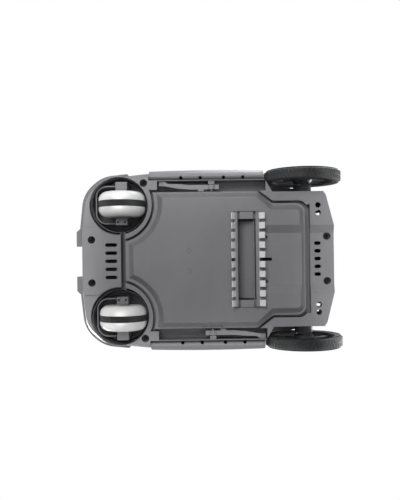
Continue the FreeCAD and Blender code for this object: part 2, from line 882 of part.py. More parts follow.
def make_lever(side):
    """Rocking lever with a finger block at its far end; the left one points the other way."""
    half = size("lever_half_width")
    reach = size("lever_reach")
    thick = 3.5
    outline = [
        (-half, 12), (-half, -34), (-half + 1.6, -52), (2.2, -reach + 8), (2.2, -reach),
        (10, -reach), (10, -reach + 8), (5.8, -reach + 14), (half + 1.6, -52), (half, -34), (half, 12),
    ]
    arm = padded_body(outline, "XY_Plane", -thick, thick)
    hub = cylinder(6.5, 2 * half, (-half, 0, 0), "X")
    tongue = box((-half - 2.9, -half), (-21, -12), (-3.4, -1.2))
    bore = cylinder(2 + size("running_gap"), 20, (-10, 0, 0), "X")
    finger_grooves = fuse(
        *[box((1, 11), (-reach + 1.2 + 2.4 * step, -reach + 2.2 + 2.4 * step), (-4, -2.8))
          for step in range(3)]
    )
    lever = doc.addObject("Part::Compound", "Lever")
    lever.Links = [cut(fuse(arm, hub, tongue), bore, finger_grooves)]
    turn = Rotation(Vector(0, 0, 1), 0 if side > 0 else 180)
    place(lever, (side * size("lever_across"), size("pivot_line"), size("pivot_height")), turn)
    return lever


def make_lever_pins():
    right = cylinder(2, 16.6, (109.6, size("pivot_line"), size("pivot_height")), "X")
    return group(right, mirrored(right))


keep("lever_right", make_lever(1))
keep("lever_left", make_lever(-1))
keep("lever_pins", make_lever_pins())


# swivelling front wheels


def make_caster(side):
    """The pieces of one front wheel; each is drawn around the swivel line and then placed."""
    wheel_y = size("trail")
    wheel_z = size("front_radius")
    half = size("front_half_width")
    top = size("well_roof") - 8.5
    inner_leg = box((-33, -half - 0.8), (wheel_y - 9, wheel_y + 9), (wheel_z - 9, top))
    outer_leg = box((half + 0.8, 35), (wheel_y - 9, wheel_y + 9), (wheel_z - 9, top))
    pocket_holes = fuse(
        *[box((-30, -27), (wheel_y + shift - 1.5, wheel_y + shift + 1.5), (wheel_z - 12, wheel_z - 3))
          for shift in (-5.5, 5.5)]
    )
    def hoop_outline(inset):
        corner = 18 - inset
        return [
            (31 - inset, -38 + inset, corner), (31 - inset, 4, 1), (22 - inset, 20 - inset, 2),
            (-22 + inset, 20 - inset, 2), (-31 + inset, 4, 1), (-31 + inset, -38 + inset, corner),
        ]

    low = number("front_radius") + 6
    high = number("well_roof") - 8.5
    hoop = cut(
        feature(prism(hoop_outline(0), low, high)),
        feature(prism(hoop_outline(2), low - 1, high + 1)),
        box((-40, 40), (wheel_y + 3, 60), (low - 2, high - 14)),
    )
    disc = cylinder(41.2, 4, (0, 0, top))
    ring = cut(cylinder(41.2, 6, (0, 0, top - 6)), cylinder(38.6, 8, (0, 0, top - 7)))
    wheel_room = cylinder(wheel_z + 1.2, 2 * half + 1.6, (-half - 0.8, wheel_y, wheel_z), "X")
    axle_bore = cylinder(3, 80, (-40, wheel_y, wheel_z), "X")
    fork = cut(fuse(inner_leg, outer_leg, hoop, disc, ring), wheel_room, axle_bore, pocket_holes)
    stem = fuse(
        cylinder(size("stem_radius"), 20, (0, 0, top + 4)),
        cylinder(size("stem_radius") + 3, 1.6, (0, 0, top + 24)),
    )
    axle = cylinder(3, 67, (-32.6, wheel_y, wheel_z), "X")
    hole = cylinder(3 + size("running_gap"), 80, (-40, wheel_y, wheel_z), "X")
    barrels = []
    for direction in (1, -1):
        start = size("band_half_width") if direction > 0 else -half
        barrel = cylinder(wheel_z, half - size("band_half_width"), (start, wheel_y, wheel_z), "X")
        far = 20 * direction
        rounded = round_edges(
            barrel, 13,
            lambda edge: abs(edge.BoundBox.XMin - far) < 0.01 and abs(edge.BoundBox.XMax - far) < 0.01,
        )
        recess = cylinder(15, 2.5, (half - 2.5 if direction > 0 else -half, wheel_y, wheel_z), "X")
        barrels.append(cut(rounded, hole, recess))
    band = cut(
        cylinder(wheel_z - 0.6, 2 * size("band_half_width"), (-size("band_half_width"), wheel_y, wheel_z), "X"),
        cylinder(3 + size("running_gap"), 80, (-40, wheel_y, wheel_z), "X"),
    )
    pieces = {
        "fork": fork,
        "stem": stem,
        "axle": axle,
        "wheel": group(*barrels),
        "band": band,
    }
    for name, piece in pieces.items():
        placed = doc.addObject("Part::Compound", "Placed")
        placed.Links = [piece]
        pieces[name] = place(placed, (size("swivel_across"), size("swivel_line"), 0))
        if side < 0:
            pieces[name] = mirrored(pieces[name])
    return pieces


for side_name, side in (("right", 1), ("left", -1)):
    for piece_name, piece in make_caster(side).items():
        keep(f"caster_{piece_name}_{side_name}", piece)

bushes = [
    cut(
        fuse(
            cylinder(9, 12, (side * size("swivel_across"), size("swivel_line"), size("well_roof") - 1)),
            cylinder(13, 3, (side * size("swivel_across"), size("swivel_line"), size("well_roof") + 3)),
        ),
        cylinder(
            size("stem_radius") + size("running_gap"), 30,
            (side * size("swivel_across"), size("swivel_line"), size("well_roof") - 8),
        ),
    )
    for side in (1, -1)
]
keep("swivel_bushes", group(*bushes))


# drive wheels


def make_drive_wheel():
    """Pieces of the right drive wheel, turned about a line through its axle."""
    centre = (0, size("axle_line"), size("drive_radius"))
    inner = size("drive_inner")
    outer = inner + size("drive_width")
    radius = size("drive_radius")
    tyre = turned_body(
        [
            (inner, radius - 5), (inner, radius - 2.2), (inner + 2.2, radius), (inner + 8.8, radius),
            (inner + 8.8, radius - 1.2), (inner + 11.2, radius - 1.2), (inner + 11.2, radius),
            (outer - 2.2, radius), (outer, radius - 2.2), (outer, radius - 5),
            (outer - 1.5, radius - 7), (inner + 1.5, radius - 7),
        ],
        centre,
    )
    ring = turned_body(
        [
            (inner + 1.5, radius - 12), (inner + 1.5, radius - 7), (outer - 1.5, radius - 7),
            (outer - 1.5, radius - 12), (outer - 4, radius - 13.5), (inner + 4, radius - 13.5),
        ],
        centre,
    )
    hub = turned_body(
        [
            (inner + 0.6, size("shaft_radius")), (inner + 0.6, 14), (inner + 5, 17),
            (outer - 5, 17), (outer - 2, 15), (outer - 2, size("shaft_radius")),
        ],
        centre,
    )
    spokes = []
    for step in range(6):
        spoke = padded_body(
            [(-7.5, 15), (7.5, 15), (11, 34), (6.5, 50), (-6.5, 50), (0, 33)],
            "YZ_Plane", inner + 6, outer - 6,
        )
        turn = Rotation(Vector(1, 0, 0), 60 * step)
        spokes.append(place(spoke, centre, turn))
    rim = fuse(ring, hub, *spokes)
    cap = turned_body(
        [(outer - 2, 0), (outer - 2, 13.5), (outer, 12.5), (outer + 1.2, 9), (outer + 1.2, 0)], centre,
    )
    shaft = turned_body([(92, 0), (92, size("shaft_radius")), (outer - 2, size("shaft_radius")),
                         (outer - 2, 0)], centre)
    return {"tyre": tyre, "rim": rim, "cap": cap, "shaft": shaft}


for piece_name, piece in make_drive_wheel().items():
    keep(f"drive_{piece_name}_right", piece)
    keep(f"drive_{piece_name}_left", mirrored(piece))


def make_drive_motor():
    """Geared motor with the rounded nose that stands out of the chassis side."""
    line = size("axle_line")
    height = size("drive_radius")
    nose = round_edges(cylinder(14.5, 18.4, (104, line, height), "X"), 3.5,
                       lambda edge: edge.BoundBox.XMin > 122)
    return cut(
        fuse(nose, cylinder(17, 56, (48, line, height), "X")),
        cylinder(8, 60, (90, line, height), "X"),
    )


def make_axle_bush():
    line = size("axle_line")
    height = size("drive_radius")
    return cut(
        cylinder(8, 28, (94, line, height), "X"),
        cylinder(size("shaft_radius") + size("running_gap"), 60, (80, line, height), "X"),
    )


drive_motor = keep("drive_motor_right", make_drive_motor())
keep("drive_motor_left", mirrored(drive_motor))
axle_bush = make_axle_bush()
keep("axle_bushes", group(axle_bush, mirrored(axle_bush)))


def make_arch_liner():
    """Quarter band of dark plastic inside the wheel arch, ahead of the tyre."""
    line = size("axle_line")
    height = size("drive_radius")
    band = cut(
        cylinder(size("drive_radius") + 4.6, 14.6, (108, line, height), "X"),
        cylinder(size("drive_radius") + 2.4, 30, (100, line, height), "X"),
    )
    corner = box((100, 160), (60, line + 10), (height, 150))
    return common(band, corner)


arch_liner = make_arch_liner()
keep("arch_liners", group(arch_liner, mirrored(arch_liner)))


# pump, power and floats

pump_line = size("pump_line")
roof = size("roof_height")


def make_pump():
    motor = fuse(
        cylinder(27, 40, (0, pump_line, 104)),
        cylinder(31, 4, (0, pump_line, 140)),
    )
    motor = cut(motor, cylinder(3 + size("running_gap"), 60, (0, pump_line, 125)))
    tube = cut(
        cylinder(36, 28, (0, pump_line, 148)),
        cylinder(33.5, 40, (0, pump_line, 144)),
    )
    foot = cut(cylinder(36, 4, (0, pump_line, 144)), cylinder(3 + size("running_gap"), 60, (0, pump_line, 125)))
    windows = fuse(
        *[box((-40, 40), (pump_line - 9, pump_line + 9), (143, 149)),
          box((-9, 9), (pump_line - 40, pump_line + 40), (143, 149))]
    )
    core = cylinder(20, 40, (0, pump_line, 140))
    return motor, cut(fuse(tube, foot), cut(windows, core))


def make_impeller():
    hub = cylinder(9, 16, (0, pump_line, 152))
    blades = []
    for step in range(4):
        blade = doc.addObject("Part::Compound", "Blade")
        blade.Links = [place(box((0, 24), (0, 2), (0, 14)), (7, 3.5, 0), Rotation(Vector(1, 0, 0), 38))]
        blades.append(place(blade, (0, pump_line, 154), Rotation(Vector(0, 0, 1), 90 * step)))
    shaft = cylinder(3, 38, (0, pump_line, 132))
    wheel = cut(fuse(hub, *blades), cylinder(3, 60, (0, pump_line, 130)))
    return wheel, shaft


def make_grille():
    """Round outlet with two rings, joined by eight ribs, under a low rim."""
    radius = size("grille_radius")
    rim = cut(cylinder(radius + 5, 3, (0, pump_line, roof)), cylinder(radius - 3, 9, (0, pump_line, roof - 3)))
    collar = cut(
        cylinder(radius - 2.2, 5, (0, pump_line, roof - 5)),
        cylinder(radius - 4.4, 9, (0, pump_line, roof - 7)),
    )
    rings = [
        cut(cylinder(outer, 3, (0, pump_line, roof)), cylinder(outer - 2.4, 9, (0, pump_line, roof - 3)))
        for outer in (28, 19)
    ]
    boss = cylinder(10, 3, (0, pump_line, roof))
    ribs = []
    for step in range(8):
        rib = box((8, 36), (-1.1, 1.1), (0, 2.6))
        ribs.append(place_turned(rib, (0, pump_line, roof), 45 * step))
    return fuse(rim, collar, *rings, boss, *ribs)


def place_turned(thing, at, degrees):
    """Moves a piece that was drawn around the origin, turned about the upright line."""
    holder = doc.addObject("Part::Compound", "Turned")
    holder.Links = [thing]
    return place(holder, at, Rotation(Vector(0, 0, 1), degrees))


pump_motor, pump_tube = make_pump()
keep("pump_motor", pump_motor)
keep("pump_tube", pump_tube)
impeller, impeller_shaft = make_impeller()
keep("impeller", impeller)
keep("impeller_shaft", impeller_shaft)
keep("outlet_grille", make_grille())
keep("battery_pack", box((-55, 55), (-88, -20), (106, 146)))
keep("control_box", box((-48, 48), (62, 116), (106, 136)))
float_block = box((62, 96), (-60, 60), (104, 140))
keep("floats", group(float_block, mirrored(float_block)))


# handle, panel and fixings


def make_handle():
    """Bail that lies on the roof and folds up about two pins."""
    across = size("handle_across")
    line = size("handle_pivot_line")
    reach = size("handle_reach")
    height = roof + 7
    arm = padded_body(
        [(line - reach, 10), (line - reach, 20), (line - reach + 12, 20), (line - 26, 5.5),
         (line + 4, 5), (line + 4, -5), (line - 26, -5), (line - reach + 14, 10)],
        "YZ_Plane", across - 5, across + 5,
    )
    arm = place(arm, (0, 0, height))
    eye = cylinder(6, 10, (across - 5, line, height), "X")
    cross = box((-across - 5, across + 5), (line - reach - 2, line - reach + 12), (height + 10, height + 20))
    pin_bore = cylinder(2.5 + size("running_gap"), 140, (-70, line, height), "X")
    bail = cut(fuse(arm, eye, mirrored(fuse(arm, eye)), cross), pin_bore)
    grip = cut(
        box((-38, 38), (line - reach - 4, line - reach + 14), (height + 8, height + 22)),
        box((-60, 60), (line - reach - 2, line - reach + 12), (height + 10, height + 20)),
    )
    return bail, grip


def make_handle_mounts():
    """Ears on the roof that carry the handle's pins."""
    line = size("handle_pivot_line")
    inner = size("handle_across") - 5.4
    height = roof + 7
    ear = fuse(
        box((inner - 5, inner), (line - 7, line + 7), (roof, height)),
        cylinder(7, 5, (inner - 5, line, height), "X"),
    )
    pin = cylinder(2.5, 16, (inner - 5, line, height), "X")
    drilled = cut(ear, cylinder(2.5, 30, (inner - 15, line, height), "X"))
    return group(drilled, mirrored(drilled)), group(pin, mirrored(pin))


def make_control_panel():
    line = size("button_line")
    plate = fuse(
        box((-44, 44), (line - 22, line + 22), (roof, roof + 2)),
        box((-39.6, 39.6), (line - 17.6, line + 17.6), (roof - 3, roof)),
    )
    well = cylinder(size("button_radius") + 0.4, 20, (0, line, roof - 1))
    guide = cylinder(3.06, 20, (0, line, roof - 10))
    windows = fuse(*[box((side * 27 - 9, side * 27 + 9), (line - 3, line + 3), (roof + 0.8, roof + 9))
                     for side in (1, -1)])
    return cut(plate, well, guide, windows)


def make_button():
    line = size("button_line")
    return fuse(
        round_edges(cylinder(size("button_radius"), 3, (0, line, roof + 1.4)), 0.8,
                    lambda edge: edge.BoundBox.ZMin > roof.value + 4),
        cylinder(3, 8, (0, line, roof - 6)),
    )


bail, grip = make_handle()
keep("handle", bail)
keep("handle_grip", grip)
handle_ears, handle_pins = make_handle_mounts()
keep("handle_ears", handle_ears)
keep("handle_pins", handle_pins)
keep("control_panel", make_control_panel())
keep("power_button", make_button())
lights = [
    box((side * 27 - 9, side * 27 + 9), (size("button_line") - 3, size("button_line") + 3),
        (roof + 0.8, roof + 2.2))
    for side in (1, -1)
]
keep("status_lights", group(*lights))


def make_screw(x, y):
    """Countersunk screw at the bottom of its recess, with a cross-shaped drive."""
    head_height = floor + 13.8
    head = cone(4.4, 2, 2.2, (x, y, head_height))
    shank = cylinder(2, 14, (x, y, head_height + 1.4))
    cross = fuse(
        box((x - 2.6, x + 2.6), (y - 0.5, y + 0.5), (head_height - 1, head_height + 1.2)),
        box((x - 0.5, x + 0.5), (y - 2.6, y + 2.6), (head_height - 1, head_height + 1.2)),
    )
    return cut(fuse(head, shank), cross)


keep("chassis_screws", group(*[make_screw(x, y) for x, y in chassis_screw_places]))
contacts = [cylinder(3, 5, (side * 9, 197, 90), "Y") for side in (1, -1)]
keep("charge_contacts", group(*contacts))


doc.recompute()
for thing in doc.Objects:
    if "Invalid" in thing.State or "Error" in thing.State:
        raise RuntimeError(f"{thing.Label} ({thing.Name}) did not compute: {thing.State}")
for name, thing in nodes.items():
    shape = thing.Shape
    if shape.isNull() or not shape.isValid() or not shape.Solids:
        raise RuntimeError(f"{name} is not a valid solid")

os.makedirs("parts", exist_ok=True)
for name, thing in nodes.items():
    thing.Shape.exportStep(f"parts/{name}.step")
    print(name, len(thing.Shape.Solids), "solid,", round(thing.Shape.Volume / 1000, 2), "cm3")
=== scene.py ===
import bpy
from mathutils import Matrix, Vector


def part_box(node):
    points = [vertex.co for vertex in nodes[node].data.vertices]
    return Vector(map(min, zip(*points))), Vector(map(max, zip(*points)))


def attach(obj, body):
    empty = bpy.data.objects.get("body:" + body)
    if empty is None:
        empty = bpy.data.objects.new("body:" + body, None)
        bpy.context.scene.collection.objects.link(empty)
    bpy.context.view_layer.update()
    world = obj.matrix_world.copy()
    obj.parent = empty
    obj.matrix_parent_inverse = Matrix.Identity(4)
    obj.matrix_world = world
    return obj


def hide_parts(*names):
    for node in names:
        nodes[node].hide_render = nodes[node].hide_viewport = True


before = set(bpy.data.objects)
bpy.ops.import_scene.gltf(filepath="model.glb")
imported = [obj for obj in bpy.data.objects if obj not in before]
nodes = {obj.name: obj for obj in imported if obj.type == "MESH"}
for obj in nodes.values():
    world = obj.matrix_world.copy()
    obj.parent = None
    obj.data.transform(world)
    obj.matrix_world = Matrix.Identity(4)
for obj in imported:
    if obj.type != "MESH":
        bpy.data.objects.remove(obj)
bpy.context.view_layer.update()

import math

import bpy
from mathutils import Matrix, Vector

scene = bpy.context.scene
scene.view_settings.view_transform = "Standard"
print("frame loaded:", len(nodes), "parts")


# camera, lights and floor

cameraPlan = {
    "distance": 0.9196,  # below the floor, looking straight up at the underside
    "centreLine": -0.0018,
    "roll": 0.75,
    "lens": 43.2,
    "shift": (-0.014, 0.02),
}


def addCamera(plan):
    data = bpy.data.cameras.new("camera")
    data.lens = plan["lens"]
    data.sensor_width = 36
    data.shift_x, data.shift_y = plan["shift"]
    data.clip_start = 0.01
    camera = bpy.data.objects.new("camera", data)
    scene.collection.objects.link(camera)
    turn = math.radians(plan["roll"])
    right = Vector((-math.sin(turn), math.cos(turn), 0))
    up = Vector((math.cos(turn), math.sin(turn), 0))
    axes = Matrix((right, up, right.cross(up))).transposed()
    camera.matrix_world = Matrix.Translation((0, plan["centreLine"], -plan["distance"])) @ axes.to_4x4()
    scene.camera = camera


lightPlan = {
    # name: place, aimed at, size, power, colour
    "underKey": ((0.75, -0.3, -1.2), (0, 0, 0.05), 0.9, 14, (1, 0.995, 0.99)),
    "underFill": ((-0.3, 0.4, -1.5), (0, 0, 0.05), 1.3, 5, (0.98, 0.985, 1)),
    "topKey": ((-0.9, -1.1, 1.5), (0, 0, 0.1), 1.2, 42, (1, 0.99, 0.975)),
    "topFill": ((1.3, 0.6, 1.2), (0, 0, 0.1), 1.4, 24, (0.975, 0.985, 1)),
    "rearKey": ((-0.4, 1.6, 1.0), (0, 0, 0.1), 1.2, 22, (1, 1, 1)),
}


def addLight(name, place, target, size, power, colour):
    data = bpy.data.lights.new(name, "AREA")
    data.shape = "DISK"
    data.size = size
    data.energy = power
    data.color = colour
    light = bpy.data.objects.new(name, data)
    scene.collection.objects.link(light)
    light.location = place
    light.rotation_euler = (Vector(target) - Vector(place)).to_track_quat("-Z", "Y").to_euler()


# white where the camera looks past the object, a softer grey as the light all round
def addWorld(seenColour, feltColour):
    world = bpy.data.worlds.new("studio")
    scene.world = world
    world.use_nodes = True
    tree = world.node_tree
    tree.nodes.clear()
    output = tree.nodes.new("ShaderNodeOutputWorld")
    seen = tree.nodes.new("ShaderNodeBackground")
    felt = tree.nodes.new("ShaderNodeBackground")
    path = tree.nodes.new("ShaderNodeLightPath")
    mix = tree.nodes.new("ShaderNodeMixShader")
    seen.inputs["Color"].default_value = (*seenColour, 1)
    felt.inputs["Color"].default_value = (*feltColour, 1)
    tree.links.new(path.outputs["Is Camera Ray"], mix.inputs["Fac"])
    tree.links.new(felt.outputs[0], mix.inputs[1])
    tree.links.new(seen.outputs[0], mix.inputs[2])
    tree.links.new(mix.outputs[0], output.inputs["Surface"])


# the floor is pale from above and lets the view through from below
def addFloor(half, colour):
    mesh = bpy.data.meshes.new("floor")
    corners = [(-half, -half, 0), (half, -half, 0), (half, half, 0), (-half, half, 0)]
    mesh.from_pydata(corners, [], [(0, 1, 2, 3)])
    floor = bpy.data.objects.new("floor", mesh)
    scene.collection.objects.link(floor)
    material = bpy.data.materials.new("floorPaper")
    material.use_nodes = True
    tree = material.node_tree
    paper = tree.nodes["Principled BSDF"]
    paper.inputs["Base Color"].default_value = (*colour, 1)
    paper.inputs["Roughness"].default_value = 0.85
    side = tree.nodes.new("ShaderNodeNewGeometry")
    clear = tree.nodes.new("ShaderNodeBsdfTransparent")
    mix = tree.nodes.new("ShaderNodeMixShader")
    tree.links.new(side.outputs["Backfacing"], mix.inputs["Fac"])
    tree.links.new(paper.outputs[0], mix.inputs[1])
    tree.links.new(clear.outputs[0], mix.inputs[2])
    tree.links.new(mix.outputs[0], tree.nodes["Material Output"].inputs["Surface"])
    mesh.materials.append(material)
    floor.visible_shadow = False


addCamera(cameraPlan)
for lightName, values in lightPlan.items():
    addLight(lightName, *values)
addWorld((1, 1, 1), (0.24, 0.24, 0.245))
addFloor(3.0, (0.8, 0.8, 0.8))
print("studio ready:", len(lightPlan), "lights")


# shader effects that several finishes share

def addNode(tree, kind, values=None, **settings):
    node = tree.nodes.new(kind)
    for name, value in settings.items():
        setattr(node, name, value)
    for name, value in (values or {}).items():
        feed(tree, node.inputs[name], value)
    return node


def feed(tree, socket, value):
    if isinstance(value, bpy.types.NodeSocket):
        tree.links.new(value, socket)
    elif socket.type == "RGBA":
        socket.default_value = (*value, 1)
    else:
        socket.default_value = value


def newGroup(name, inputs, outputs):
    group = bpy.data.node_groups.new(name, "ShaderNodeTree")
    for label, value in inputs.items():
        socket = group.interface.new_socket(name=label, in_out="INPUT", socket_type="NodeSocketFloat")
        socket.default_value = value
    for label in outputs:
        kind = "NodeSocketVector" if label == "Normal" else "NodeSocketFloat"
        group.interface.new_socket(name=label, in_out="OUTPUT", socket_type=kind)
    return group, addNode(group, "NodeGroupInput"), addNode(group, "NodeGroupOutput")


def maths(tree, operation, first, second=0.0):
    node = addNode(tree, "ShaderNodeMath", operation=operation, use_clamp=operation != "SUBTRACT")
    feed(tree, node.inputs[0], first)
    feed(tree, node.inputs[1], second)
    return node.outputs[0]


def spread(tree, value, low, high, newLow=0.0, newHigh=1.0):
    values = {"Value": value, "From Min": low, "From Max": high, "To Min": newLow, "To Max": newHigh}
    return addNode(tree, "ShaderNodeMapRange", values).outputs["Result"]


def noise(tree, place, size, detail=3.0, roughness=0.55, distortion=0.0):
    values = {"Vector": place, "Scale": size, "Detail": detail, "Roughness": roughness,
              "Distortion": distortion}
    return addNode(tree, "ShaderNodeTexNoise", values).outputs["Fac"]


def objectPlace(tree):
    return addNode(tree, "ShaderNodeTexCoord").outputs["Object"]


# spark-eroded mould texture: fine pits, and a slow drift of shade along the flow of the plastic
def makeMouldGrain():
    inputs = {"Scale": 1500.0, "Drift": 16.0}
    group, given, made = newGroup("mouldGrain", inputs, ("Height", "Shade", "Fleck"))
    place = objectPlace(group)
    pits = addNode(group, "ShaderNodeTexVoronoi", {"Vector": place, "Scale": given.outputs["Scale"]},
                   feature="SMOOTH_F1")
    grain = noise(group, place, given.outputs["Scale"], 3.0, 0.6)
    drift = noise(group, place, given.outputs["Drift"], 4.0)
    flow = addNode(group, "ShaderNodeMapping", {"Vector": place, "Scale": (1.0, 5.0, 2.0)})
    streak = noise(group, flow.outputs[0], given.outputs["Drift"], 2.0)
    height = maths(group, "ADD", maths(group, "MULTIPLY", pits.outputs["Distance"], 0.5),
                   maths(group, "MULTIPLY", grain, 0.5))
    shade = maths(group, "ADD", maths(group, "MULTIPLY", drift, 0.65),
                  maths(group, "MULTIPLY", streak, 0.35))
    group.links.new(height, made.inputs["Height"])
    group.links.new(spread(group, shade, 0.32, 0.68), made.inputs["Shade"])
    group.links.new(spread(group, grain, 0.35, 0.7), made.inputs["Fleck"])
    return group


# rounds every edge a little for the light, and tells how rubbed it is
def makeEdgeWear():
    group, given, made = newGroup("edgeWear", {"Width": 0.0006, "Breakup": 60.0}, ("Mask", "Normal"))
    rounded = addNode(group, "ShaderNodeBevel", {"Radius": given.outputs["Width"]}, samples=4)
    flat = addNode(group, "ShaderNodeNewGeometry")
    along = addNode(group, "ShaderNodeVectorMath",
                    {0: rounded.outputs["Normal"], 1: flat.outputs["Normal"]}, operation="DOT_PRODUCT")
    sharp = spread(group, along.outputs["Value"], 0.98, 0.72)
    patch = noise(group, objectPlace(group), given.outputs["Breakup"], 5.0, 0.7)
    worn = maths(group, "MULTIPLY", sharp, spread(group, patch, 0.38, 0.66))
    group.links.new(worn, made.inputs["Mask"])
    group.links.new(rounded.outputs["Normal"], made.inputs["Normal"])
    return group


# dry scale and dust as a thin film in the open, and painted shade that darkens the colour in corners
# and recesses
def makeDustAndCornerShade():
    group, given, made = newGroup("dustAndCornerShade", {"Reach": 0.007, "Patch": 22.0}, ("Corner", "Film"))
    shut = addNode(group, "ShaderNodeAmbientOcclusion", {"Distance": given.outputs["Reach"]}, samples=4)
    place = objectPlace(group)
    cloud = noise(group, place, given.outputs["Patch"], 6.0, 0.65, 0.4)
    speck = noise(group, place, 900.0, 2.0)
    film = maths(group, "MULTIPLY", spread(group, cloud, 0.45, 0.75), spread(group, speck, 0.3, 0.7))
    # painted shade: the ambient occlusion mask marks corners and recesses, where shade falls, for
    # darkening
    corner = maths(group, "MULTIPLY", spread(group, shut.outputs["AO"], 0.85, 0.25),
                   spread(group, cloud, 0.25, 0.6))
    group.links.new(corner, made.inputs["Corner"])
    group.links.new(film, made.inputs["Film"])
    return group


# fine parallel ribs or brush lines along one axis, with a little waver
def makeFineRibs():
    inputs = {"Along X": 0.0, "Along Y": 0.0, "Along Z": 1.0, "Waver": 0.0}
    group, given, made = newGroup("fineRibs", inputs,
                                  ("Height",))
    place = addNode(group, "ShaderNodeSeparateXYZ", {0: objectPlace(group)})
    summed = 0.0
    for axis in "XYZ":
        part = addNode(group, "ShaderNodeMath", operation="MULTIPLY_ADD")
        feed(group, part.inputs[0], place.outputs[axis])
        feed(group, part.inputs[1], given.outputs["Along " + axis])
        feed(group, part.inputs[2], summed)
        summed = part.outputs[0]
    waver = addNode(group, "ShaderNodeMath", operation="MULTIPLY_ADD")
    feed(group, waver.inputs[0], noise(group, objectPlace(group), 90.0))
    feed(group, waver.inputs[1], given.outputs["Waver"])
    feed(group, waver.inputs[2], summed)
    wave = addNode(group, "ShaderNodeMath", {0: waver.outputs[0]}, operation="SINE")
    group.links.new(spread(group, wave.outputs[0], -1.0, 1.0), made.inputs["Height"])
    return group


mouldGrain = makeMouldGrain()
edgeWear = makeEdgeWear()
dustAndCornerShade = makeDustAndCornerShade()
fineRibs = makeFineRibs()
print("shader groups made: 4")


# finishes, one for each slot of the record

def mixed(tree, share, first, second):
    node = addNode(tree, "ShaderNodeMix", data_type="RGBA")
    feed(tree, node.inputs[0], share)
    feed(tree, node.inputs[6], first)
    feed(tree, node.inputs[7], second)
    return node.outputs[2]


def placeGroup(tree, group, values):
    node = addNode(tree, "ShaderNodeGroup", node_tree=group)
    for name, value in values.items():
        node.inputs[name].default_value = value
    return node


def scaled(colour, factor):
    return [min(1.0, value * factor) for value in colour]


def makeFinish(name, look):
    material = bpy.data.materials.new(name)
    material.use_nodes = True
    tree = material.node_tree
    shader = tree.nodes["Principled BSDF"]
    for label, value in look.get("fixed", {}).items():
        shader.inputs[label].default_value = value
    grain = placeGroup(tree, mouldGrain, {"Scale": look["grain"], "Drift": look.get("drift", 14.0)})
    wear = placeGroup(tree, edgeWear, {"Width": look.get("edge", 0.0006)})
    dustAndShade = placeGroup(tree, dustAndCornerShade, {"Reach": look.get("reach", 0.007)})
    colour = look["colour"]
    base = mixed(tree, grain.outputs["Shade"], scaled(colour, 0.95), scaled(colour, 1.06))
    flecked = mixed(tree, maths(tree, "MULTIPLY", grain.outputs["Fleck"], look.get("fleck", 0.12)),
                    base, scaled(colour, 1.3))
    rubbed = mixed(tree, maths(tree, "MULTIPLY", wear.outputs["Mask"], look.get("wear", 0.4)),
                   flecked, look["worn"])
    # painted shade: the colour drops to half its value where the occlusion mask finds a corner or
    # recess
    shaded = mixed(tree, maths(tree, "MULTIPLY", dustAndShade.outputs["Corner"], look.get("corner", 0.3)),
                   rubbed, scaled(colour, 0.5))
    dusty = mixed(tree, maths(tree, "MULTIPLY", dustAndShade.outputs["Film"], look.get("film", 0.05)),
                  shaded, (0.5, 0.5, 0.48))
    tree.links.new(dusty, shader.inputs["Base Color"])
    low, high = look["roughness"]
    rough = spread(tree, grain.outputs["Shade"], 0.0, 1.0, low, high)
    polish = maths(tree, "MULTIPLY", wear.outputs["Mask"], 0.1)
    tree.links.new(maths(tree, "SUBTRACT", rough, polish), shader.inputs["Roughness"])
    height = grain.outputs["Height"]
    if "ribs" in look:
        ribs = placeGroup(tree, fineRibs, look["ribs"])
        height = maths(tree, "ADD", maths(tree, "MULTIPLY", height, look.get("ribShare", 0.4)),
                       maths(tree, "MULTIPLY", ribs.outputs["Height"], 0.6))
    bump = addNode(tree, "ShaderNodeBump",
                   {"Height": height, "Strength": look["bump"], "Distance": look.get("depth", 0.0002),
                    "Normal": wear.outputs["Normal"]})
    tree.links.new(bump.outputs["Normal"], shader.inputs["Normal"])
    return material, tree, shader


